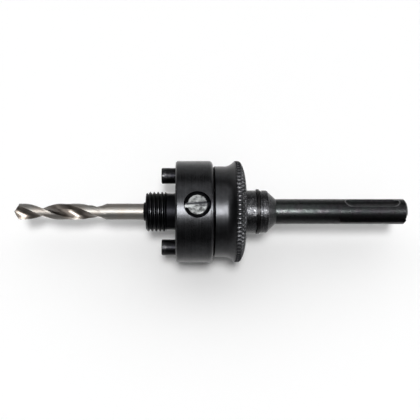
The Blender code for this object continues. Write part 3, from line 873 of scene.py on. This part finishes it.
def pin_hole(seat):
    """Hole through the flange for a drive pin, with a small chamfer at both ends."""
    wide = PIN_HOLE_RADIUS + PIN_HOLE_MOUTH + GAP
    profile = [
        (-GAP, 0),
        (-GAP, wide),
        (PIN_HOLE_MOUTH, PIN_HOLE_RADIUS),
        (FLANGE_THICKNESS - PIN_HOLE_MOUTH, PIN_HOLE_RADIUS),
        (FLANGE_THICKNESS + GAP, wide),
        (FLANGE_THICKNESS + GAP, 0),
    ]
    return placed_bar(profile, FORWARD, seat, ROUND_FACETS)


def screw_hole():
    """Stepped hole of the set screw, from the pilot drill out through the flange's rim."""
    profile = [
        (0, 0),
        (0, SCREW_DOG_RADIUS + SCREW_HOLE_PLAY),
        (SCREW_SHOULDER - SCREW_HOLE_PLAY, SCREW_DOG_RADIUS + SCREW_HOLE_PLAY),
        (SCREW_SHOULDER - SCREW_HOLE_PLAY, SCREW_HOLE_RADIUS),
        (RIM_RADIUS - SCREW_HOLE_MOUTH_DEPTH, SCREW_HOLE_RADIUS),
        (RIM_RADIUS + GAP, SCREW_HOLE_RADIUS + SCREW_HOLE_MOUTH),
        (RIM_RADIUS + GAP, 0),
    ]
    return placed_bar(profile, across(SCREW_TILT), axis_point(SCREW_STATION), SCREW_FACETS)


class ARBOR_OT_spindle(bpy.types.Operator):
    """Turn the spindle, thread its nose and cut its holes, grooves and slots"""

    bl_idname = "arbor.spindle"
    bl_label = "Spindle"

    def execute(self, context):
        sizes, colours = context.scene.arbor_sizes, context.scene.arbor_colours
        finish = spindle_oxide(colours)
        blank = new_object("threaded_spindle", turned(spindle_outline(sizes.edge), SPINDLE_FACETS))
        spindle = thread_shaping().apply(
            blank, finish,
            Pitch=sizes.thread_pitch,
            Depth=sizes.thread_depth,
            Start=sizes.thread_start,
            End=THREAD_END,
            Flat_Share=sizes.thread_flat,
        )
        ball_hole = bar(BALL_HOLE_RADIUS, across(math.pi / 2), axis_point(DETENT_STATION),
                        -BOSS_RADIUS - GAP, BOSS_RADIUS + GAP)
        grooves = [lock_groove(LOCK_GROOVE_ANGLE + half_turn) for half_turn in (0, math.pi)]
        slots = [drive_slot(LOCK_GROOVE_ANGLE - math.pi / 2 + half_turn) for half_turn in (0, math.pi)]
        cut(spindle, *map(pin_hole, pin_seats()), ball_hole, screw_hole(), *grooves, *slots)
        finish_piece(spindle, finish, "spindle", "black_oxide", "spindle")
        return {"FINISHED"}


def sleeve_outline():
    """Closed outline of the sleeve's wall, with fine rows where the knurl goes."""
    back = SLEEVE_LENGTH
    rim = refine([(RIM_START, RIM_RADIUS), (RIM_END, RIM_RADIUS)], KNURL_ROW)
    bevel = refine(bend_curve((RIM_END, RIM_RADIUS), BACK_BEND, (back, BACK_RADIUS), 12), KNURL_ROW)
    front = [
        (0, SLEEVE_BORE_RADIUS),
        (0, SLEEVE_RADIUS - SLEEVE_EDGE),
        (SLEEVE_EDGE, SLEEVE_RADIUS),
        *bend_curve((FLARE_START, SLEEVE_RADIUS), FLARE_BEND, (RIM_START, RIM_RADIUS), 20)[:-1],
    ]
    bore = [
        (back, RECESS_RADIUS),
        (back - RECESS_DEPTH, RECESS_RADIUS),
        (back - RECESS_DEPTH, SLEEVE_BORE_RADIUS),
    ]
    for station in DETENT_GROOVES:
        bore += [
            (station + 2 * DETENT_GROOVE_DEPTH, SLEEVE_BORE_RADIUS),
            (station, SLEEVE_BORE_RADIUS + DETENT_GROOVE_DEPTH),
            (station - 2 * DETENT_GROOVE_DEPTH, SLEEVE_BORE_RADIUS),
        ]
    outline = front + rim[:-1] + bevel + bore
    return [(SLEEVE_FRONT + station, radius) for station, radius in outline]


class ARBOR_OT_sleeve(bpy.types.Operator):
    """Turn the sliding sleeve, knurl its rim and bore the seats of the drive pins"""

    bl_idname = "arbor.sleeve"
    bl_label = "Sliding Sleeve"

    def execute(self, context):
        sizes, colours = context.scene.arbor_sizes, context.scene.arbor_colours
        finish = sleeve_oxide(colours, sizes)
        facets = FACETS_PER_DIAMOND * sizes.knurl_count
        blank = new_object("knurled_sleeve", turned(sleeve_outline(), facets, closed=True))
        sleeve = knurl_shaping().apply(
            blank, finish,
            Count=sizes.knurl_count,
            Length=sizes.knurl_length,
            First=sizes.knurl_first,
            Depth=sizes.knurl_depth,
            Start=SLEEVE_FRONT + RIM_START,
            Run=sizes.knurl_run,
            Flat_Share=KNURL_FLAT_SHARE,
        )
        ends = (SLEEVE_FRONT - GAP, SLEEVE_FRONT + PIN_SEAT_DEPTH + GAP)
        cut(sleeve, *(bar(PIN_SEAT_RADIUS, FORWARD, seat, *ends) for seat in pin_seats()))
        finish_piece(sleeve, finish, "sleeve", "black_oxide", "sliding_sleeve")
        return {"FINISHED"}


class ARBOR_OT_drive_pins(bpy.types.Operator):
    """Turn the two drive pins with their rounded front edges"""

    bl_idname = "arbor.drive_pins"
    bl_label = "Drive Pins"

    def execute(self, context):
        finish = pin_oxide(context.scene.arbor_colours)
        front, rear = PIN_LOW.x - FLANGE_FACE, PIN_HIGH.x - FLANGE_FACE
        inner = PIN_RADIUS - PIN_EDGE
        profile = [
            (front, 0),
            (front, inner - PIN_EDGE),
            *bend_curve((front, inner), (front, PIN_RADIUS), (front + PIN_EDGE, PIN_RADIUS), 10),
            (rear - PIN_EDGE, PIN_RADIUS),
            (rear, inner),
            (rear, 0),
        ]
        for number, seat in enumerate(pin_seats(), 1):
            pin = new_object(f"rounded_pin_{number}", placed_bar(profile, FORWARD, seat, ROUND_FACETS))
            finish_piece(pin, finish, "sleeve", "black_oxide", f"drive_pin_{number}")
        return {"FINISHED"}


class ARBOR_OT_set_screw(bpy.types.Operator):
    """Turn the set screw and saw its slot"""

    bl_idname = "arbor.set_screw"
    bl_label = "Set Screw"

    def execute(self, context):
        profile = eased([
            (SCREW_DOG_END, 0),
            (SCREW_DOG_END, SCREW_DOG_RADIUS),
            (SCREW_SHOULDER, SCREW_DOG_RADIUS),
            (SCREW_SHOULDER, SCREW_RADIUS - SCREW_EDGE),
            (SCREW_SHOULDER + SCREW_EDGE, SCREW_RADIUS),
            (SCREW_TOP - SCREW_TOP_EDGE, SCREW_RADIUS),
            (SCREW_TOP, SCREW_RADIUS - SCREW_TOP_EDGE),
            (SCREW_TOP, 0),
        ], context.scene.arbor_sizes.edge)
        direction = across(SCREW_TILT)
        middle = axis_point(SCREW_STATION)
        screw = new_object("slotted_screw", placed_bar(profile, direction, middle, SCREW_FACETS))
        turn = Matrix.Rotation(-SCREW_TILT, 4, "X") @ Matrix.Rotation(SCREW_SLOT_TURN, 4, "Z")
        size = (2 * SCREW_RADIUS + GAP, SCREW_SLOT_WIDTH, 2 * SCREW_SLOT_DEPTH)
        cut(screw, block(size, middle + SCREW_TOP * direction, turn))
        finish = bright_plating(context.scene.arbor_colours)
        finish_piece(screw, finish, "set_screw", "bright_screw", "set_screw")
        return {"FINISHED"}


def flute_depth(angle):
    """Depth of a full flute at an angle from its middle: a nearly flat cutting face and a hollow heel."""
    if abs(angle) >= DRILL_FLUTE_HALF_ANGLE:
        return 0
    turn = angle - DRILL_FLUTE_FLOOR_ANGLE
    cosine = math.cos(DRILL_FLUTE_HALF_ANGLE - math.copysign(DRILL_FLUTE_FLOOR_ANGLE, turn))
    centre = (DRILL_RADIUS ** 2 - DRILL_WEB_RADIUS ** 2) / (2 * (DRILL_RADIUS * cosine - DRILL_WEB_RADIUS))
    wheel = centre - DRILL_WEB_RADIUS
    reach = max(wheel ** 2 - (centre * math.sin(turn)) ** 2, 0)
    return max(DRILL_RADIUS - (centre * math.cos(turn) - math.sqrt(reach)), 0)


def drill_section(station):
    """Radius at each angle round the drill at a station, from the edge of one flute on."""
    half = DRILL_FACETS // 2
    in_flute = int(half * 2 * DRILL_FLUTE_HALF_ANGLE / math.pi)
    on_land = half - in_flute
    land = math.pi - 2 * DRILL_FLUTE_HALF_ANGLE
    full = DRILL_RADIUS - DRILL_WEB_RADIUS
    share = (station - DRILL_FLUTE_END) / DRILL_RUNOUT_LENGTH + 1
    lift = full * min(max(share, 0), 1) ** 2
    relief = DRILL_BODY_RELIEF if lift < full else 0
    section = []
    for flute in (0, math.pi):
        for step in range(in_flute + 1):
            angle = DRILL_FLUTE_HALF_ANGLE * (2 * step / in_flute - 1)
            section.append((flute + angle, DRILL_RADIUS - max(flute_depth(angle) - lift, 0)))
        for step in range(on_land - 1):
            angle = DRILL_MARGIN_ANGLE + (land - DRILL_MARGIN_ANGLE) * step / (on_land - 1)
            radius = DRILL_RADIUS - (relief if step else 0)
            section.append((flute + DRILL_FLUTE_HALF_ANGLE + angle, radius))
    return section


def drill_twist(station):
    """Turn of the flutes about the axis at a station; they stop turning where they end."""
    return DRILL_FLUTE_TURN + math.tau * (min(station, DRILL_FLUTE_END) - DRILL_TIP) / DRILL_LEAD


def drill_body():
    """Fluted drill blank, ahead of its point by one gap."""
    front = DRILL_TIP - GAP
    count = math.ceil((DRILL_FLUTE_END - front) / DRILL_ROW)
    stations = [front + (DRILL_FLUTE_END - front) * step / count for step in range(count + 1)]
    stations += [DRILL_REAR - DRILL_EDGE, DRILL_REAR]
    mesh = bmesh.new()
    rings = []
    for station in stations:
        shrink = DRILL_EDGE if station == DRILL_REAR else 0
        ring = []
        for angle, radius in drill_section(station):
            bearing = angle + drill_twist(station)
            offset = (radius - shrink) * Vector((0, math.cos(bearing), math.sin(bearing)))
            ring.append(mesh.verts.new(axis_point(station) + offset))
        rings.append(ring)
    for near, far in zip(rings, rings[1:]):
        join_rings(mesh, near, far)
    for ring, station in ((rings[0], stations[0]), (rings[-1], stations[-1])):
        middle = mesh.verts.new(axis_point(station))
        for index, vert in enumerate(ring):
            mesh.faces.new((middle, vert, ring[(index + 1) % len(ring)]))
    return mesh


def drill_point():
    """Solid that holds what the point grinding leaves: two flanks that fall away behind their lips."""
    steps = DRILL_POINT_STEPS
    flank = math.radians(176)
    outer = DRILL_RADIUS * 1.2
    start = drill_twist(DRILL_TIP) + DRILL_FLUTE_HALF_ANGLE
    mesh = bmesh.new()
    front, rear = [], []
    for lip in (0, math.pi):
        for step in range(steps + 1):
            bearing = start + lip + flank * step / steps
            fall = outer / math.tan(DRILL_POINT_HALF_ANGLE) + DRILL_POINT_RELIEF * step / steps
            offset = outer * Vector((0, math.cos(bearing), math.sin(bearing)))
            front.append(mesh.verts.new(axis_point(DRILL_TIP + fall) + offset))
            rear.append(mesh.verts.new(axis_point(DRILL_REAR + GAP) + offset))
    tip = mesh.verts.new(axis_point(DRILL_TIP))
    join_rings(mesh, [tip] * len(front), front)
    join_rings(mesh, front, rear)
    mesh.faces.new(rear)
    return mesh


class ARBOR_OT_pilot_drill(bpy.types.Operator):
    """Grind the pilot drill's flutes, its point and the flat for the set screw"""

    bl_idname = "arbor.pilot_drill"
    bl_label = "Pilot Drill"

    def execute(self, context):
        drill = new_object("twist_drill", drill_body())
        cut(drill, drill_point(), operation="INTERSECT")
        size = (DRILL_FLAT_LENGTH, 2 * DRILL_RADIUS, DRILL_RADIUS)
        middle = axis_point(SCREW_STATION) + (DRILL_FLAT_HEIGHT + DRILL_RADIUS / 2) * across(SCREW_TILT)
        cut(drill, block(size, middle, Matrix.Rotation(-SCREW_TILT, 4, "X")))
        finish = ground_steel(context.scene.arbor_colours)
        finish_piece(drill, finish, "spindle", "tool_steel", "pilot_drill", sharp=35)
        return {"FINISHED"}


class ARBOR_OT_retaining_ring(bpy.types.Operator):
    """Bend the open retaining ring into its groove"""

    bl_idname = "arbor.retaining_ring"
    bl_label = "Retaining Ring"

    def execute(self, context):
        inner = RING_GROOVE_RADIUS + RING_PLAY
        corners = eased([(0, inner), (0, RING_RADIUS), (RING_WIDTH, RING_RADIUS), (RING_WIDTH, inner)],
                        RING_EDGE, closed=True, steps=3)
        first = RING_OPENING_ANGLE + RING_OPENING / 2
        mesh = bmesh.new()
        sections = []
        for step in range(RING_STEPS + 1):
            outward = across(first + (math.tau - RING_OPENING) * step / RING_STEPS)
            sections.append([mesh.verts.new(axis_point(RING_STATION + x) + radius * outward)
                             for x, radius in corners])
        for near, far in zip(sections, sections[1:]):
            join_rings(mesh, near, far)
        mesh.faces.new(sections[0])
        mesh.faces.new(sections[-1])
        ring = new_object("open_spring_ring", mesh)
        finish = spring_steel(context.scene.arbor_colours)
        finish_piece(ring, finish, "spindle", "spring_steel", "retaining_ring")
        return {"FINISHED"}


class ARBOR_OT_detent(bpy.types.Operator):
    """Finish the hidden detent balls and their spring, whose shapes are the frame's own"""

    bl_idname = "arbor.detent"
    bl_label = "Ball Detent"

    def execute(self, context):
        colours = context.scene.arbor_colours
        for finish, names in (
            (polished_ball(colours), ("detent_ball_1", "detent_ball_2")),
            (spring_steel(colours, "spring_wire"), ("detent_spring",)),
        ):
            for name in names:
                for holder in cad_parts[name].material_slots:
                    holder.material = finish
        return {"FINISHED"}


def paper(name, brightness):
    """Matt pale floor."""
    finish = Finish(name)
    return finish.set(Base_Color=(brightness, brightness, brightness), Roughness=0.9,
                      Specular_IOR_Level=0.0)


def studio_world(world, ceiling, horizon, glow):
    """Room with a pale horizon, a dim ceiling and a soft glow high on the +Y side."""
    world.use_nodes = True
    graph = Graph(world.node_tree)
    direction = graph.node("ShaderNodeTexCoord", output="Generated")
    _, side, height = graph.place(direction)
    ceiling_start = (side * -1).smooth(0.1, 0.5) * 0.24 + 0.12
    share = ((height - 0.03) / ceiling_start).clamped()
    edge = horizon * (1 - side.smooth(0.3, 0.9) * 0.7)
    level = edge + share * (ceiling - edge) + side.smooth(0.3, 0.6) * height.smooth(0.25, 0.5) * glow
    background = world.node_tree.nodes["Background"]
    world.node_tree.links.new(level.socket, background.inputs["Color"])


def lamp(name, kind, location, aim, energy, unseen_by, **settings):
    """Lamp at a place, pointing at another, that neither the camera nor one other kind of ray sees."""
    data = bpy.data.lights.new(name, kind)
    data.energy = energy
    for setting, value in settings.items():
        setattr(data, setting, value)
    result = bpy.data.objects.new(name, data)
    result.location = location
    result.rotation_euler = (Vector(aim) - Vector(location)).to_track_quat("-Z", "Y").to_euler()
    result.visible_camera = False
    setattr(result, f"visible_{unseen_by}", False)
    bpy.context.scene.collection.objects.link(result)


class ARBOR_OT_studio(bpy.types.Operator):
    """Lay the pale floor, hang the lamps and set up the camera straight above the arbor"""

    bl_idname = "arbor.studio"
    bl_label = "Studio"

    def execute(self, context):
        scene, studio = context.scene, context.scene.arbor_studio
        mesh = bmesh.new()
        bmesh.ops.create_grid(mesh, x_segments=1, y_segments=1, size=FLOOR_HALF_WIDTH)
        floor = new_object("paper_floor", mesh)
        floor.data.materials.append(paper("white_paper", studio.floor))

        scene.world = bpy.data.worlds.new("studio_room")
        studio_world(scene.world, studio.ceiling, studio.horizon, studio.glow)
        tilt = math.radians(studio.sun_tilt)
        lamp("sun", "SUN", (0, math.sin(tilt), math.cos(tilt)), (0, 0, 0), studio.sun, "glossy",
             angle=SUN_SPREAD)
        lamp("softbox", "AREA", (SOFTBOX_X, studio.softbox_offset, SOFTBOX_HEIGHT),
             (SOFTBOX_X, 0, AXIS_HEIGHT), studio.softbox, "diffuse",
             shape="RECTANGLE", size=SOFTBOX_SIDES[0], size_y=SOFTBOX_SIDES[1])
        lean = math.radians(studio.strip_lean)
        place = (STRIP_DISTANCE * math.sin(lean), studio.softbox_offset, STRIP_DISTANCE * math.cos(lean))
        lamp("strip", "AREA", place, (STRIP_AIM_X, 0, AXIS_HEIGHT), studio.strip, "diffuse",
             shape="RECTANGLE", size=STRIP_SIDES[0], size_y=STRIP_SIDES[1])
        lamp("fill", "AREA", (0, 0, FILL_HEIGHT), (0, 0, 0), studio.fill, "glossy",
             shape="DISK", size=FILL_DIAMETER)

        data = bpy.data.cameras.new("camera")
        data.lens = CAMERA_LENS
        data.sensor_width = CAMERA_SENSOR
        data.shift_x = CAMERA_SHIFT
        camera = bpy.data.objects.new("camera", data)
        camera.location = CAMERA_PLACE
        scene.collection.objects.link(camera)
        scene.camera = camera
        scene.view_settings.view_transform = "Standard"
        return {"FINISHED"}


def length(name, description, default):
    return bpy.props.FloatProperty(name=name, description=description, default=default, precision=5,
                                   unit="LENGTH")


def number(name, description, default):
    return bpy.props.FloatProperty(name=name, description=description, default=default, precision=3)


def colour(name, description, default):
    return bpy.props.FloatVectorProperty(name=name, description=description, default=default, size=3,
                                         min=0, max=1, subtype="COLOR")


class ArborSizes(bpy.types.PropertyGroup):
    thread_pitch: length("Thread Pitch", "Distance from crest to crest of the nose's thread", 0.00156)
    thread_depth: length("Thread Depth", "Depth of the nose's thread below its crest", 0.00085)
    thread_start: length("Thread Start", "Station of a crest on the arbor's +Y side", -0.01176)
    thread_flat: number("Thread Flat", "Share of half a pitch that is flat at crest and at root", 0.16)
    knurl_count: bpy.props.IntProperty(name="Knurl Count", description="Diamonds round the rim", default=72,
                                       min=20, max=200)
    knurl_length: length("Knurl Length", "Length of one diamond over the rim and down its bevel", 0.0044)
    knurl_first: length("Knurl First", "Distance of the first row of diamonds from the rim's start", 0.0009)
    knurl_depth: length("Knurl Depth", "Depth of the knurl's grooves", 0.00042)
    knurl_run: length("Knurl Run", "How far the knurl runs over the rim and down its bevel", 0.0066)
    edge: length("Edge", "Rounding of the turned edges", 0.00012)


class ArborColours(bpy.types.PropertyGroup):
    oxide_dark: colour("Oxide Dark", "Darkest tone of the black oxide", (0.0098, 0.0101, 0.0115))
    oxide_light: colour("Oxide Light", "Lightest tone of the black oxide", (0.0175, 0.0182, 0.0203))
    oxide_rubbed: colour("Oxide Rubbed", "Tone where the oxide is worn", (0.0385, 0.0385, 0.0385))
    # Worn steel, also painted as a highlight on the shank's groove edges and on the knurl's bevel row.
    worn_steel_and_highlight: colour("Worn Steel and Highlight", "Worn steel of the knurl, boss and grooves", (0.112, 0.112, 0.116))
    # Dull black of the nose, grooves and spring steel; also painted shade on the pins, the knurl's grooves,
    # the shank's end and the set screw.
    dull_black_and_painted_shade: colour("Dull Black and Painted Shade", "Dull black of the nose, pins, grooves and screw", (0.003, 0.003, 0.0037))
    oxide_teal: colour("Oxide Teal", "Blue-green patches on the shank", (0.027, 0.031, 0.0285))
    oxide_purple: colour("Oxide Purple", "Purple patches on the shank", (0.029, 0.026, 0.0275))
    steel_cool: colour("Steel Cool", "Cool tone of the ground drill", (0.1300, 0.1262, 0.1195))
    steel_warm: colour("Steel Warm", "Warm tone of the ground drill", (0.1280, 0.1150, 0.1030))
    steel_flute: colour("Steel Flute", "Darker tone in the drill's flutes", (0.102, 0.085, 0.0723))
    plate_dark: colour("Plating Dark", "Darker tone of the set screw's plating", (0.0084, 0.0087, 0.0087))
    plate_light: colour("Plating Light", "Lighter tone of the set screw's plating", (0.0340, 0.0350, 0.0350))
    plate_scraped: colour("Plating Scraped", "Bright end of the set screw's slot", (0.0600, 0.0618, 0.0618))
    spring_tint: colour("Spring Tint", "Tint of the tempered spring steel", (0.0154, 0.0147, 0.0147))


class ArborStudio(bpy.types.PropertyGroup):
    floor: number("Floor", "Brightness of the paper", 0.97)
    ceiling: number("Ceiling", "Brightness of the room overhead", 0.1)
    horizon: number("Horizon", "Brightness of the room at the floor's horizon", 0.8)
    glow: number("Glow", "Brightness of the soft glow high on the +Y side", 1.9)
    sun: number("Sun", "Strength of the lamp that casts the shadow", 1.75)
    sun_tilt: number("Sun Tilt", "Degrees that the sun leans towards +Y", 11)
    softbox: number("Softbox", "Power of the softbox that the metal mirrors", 9.4)
    softbox_offset: length("Softbox Offset", "How far the softbox and the strip hang towards +Y", 0.038)
    strip: number("Strip", "Power of the strip light that the metal mirrors on the shank's side", 9)
    strip_lean: number("Strip Lean", "Degrees that the strip light leans towards the shank", 52)
    fill: number("Fill", "Power of the lamp that softens the shadow", 1.5)


class ARBOR_PT_panel(bpy.types.Panel):
    """Lists the arbor's pieces, sizes, colours and lamps"""

    bl_idname = "ARBOR_PT_panel"
    bl_label = "Hole Saw Arbor"
    bl_space_type = "VIEW_3D"
    bl_region_type = "UI"
    bl_category = "Arbor"

    def draw(self, context):
        for operator in OPERATORS:
            self.layout.operator(operator.bl_idname)
        for name in ("arbor_sizes", "arbor_colours", "arbor_studio"):
            group = getattr(context.scene, name)
            box = self.layout.box()
            for field in group.__annotations__:
                box.prop(group, field)


OPERATORS = (
    ARBOR_OT_spindle,
    ARBOR_OT_sleeve,
    ARBOR_OT_drive_pins,
    ARBOR_OT_set_screw,
    ARBOR_OT_pilot_drill,
    ARBOR_OT_retaining_ring,
    ARBOR_OT_detent,
    ARBOR_OT_studio,
)
CLASSES = (ArborSizes, ArborColours, ArborStudio, *OPERATORS, ARBOR_PT_panel)


def register():
    for item in CLASSES:
        bpy.utils.register_class(item)
    bpy.types.Scene.arbor_sizes = bpy.props.PointerProperty(type=ArborSizes)
    bpy.types.Scene.arbor_colours = bpy.props.PointerProperty(type=ArborColours)
    bpy.types.Scene.arbor_studio = bpy.props.PointerProperty(type=ArborStudio)


def unregister():
    del bpy.types.Scene.arbor_studio
    del bpy.types.Scene.arbor_colours
    del bpy.types.Scene.arbor_sizes
    for item in reversed(CLASSES):
        bpy.utils.unregister_class(item)


def main():
    register()
    bpy.ops.arbor.spindle()
    bpy.ops.arbor.sleeve()
    bpy.ops.arbor.drive_pins()
    bpy.ops.arbor.set_screw()
    bpy.ops.arbor.pilot_drill()
    bpy.ops.arbor.retaining_ring()
    bpy.ops.arbor.detent()
    bpy.ops.arbor.studio()


if __name__ == "__main__":
    main()
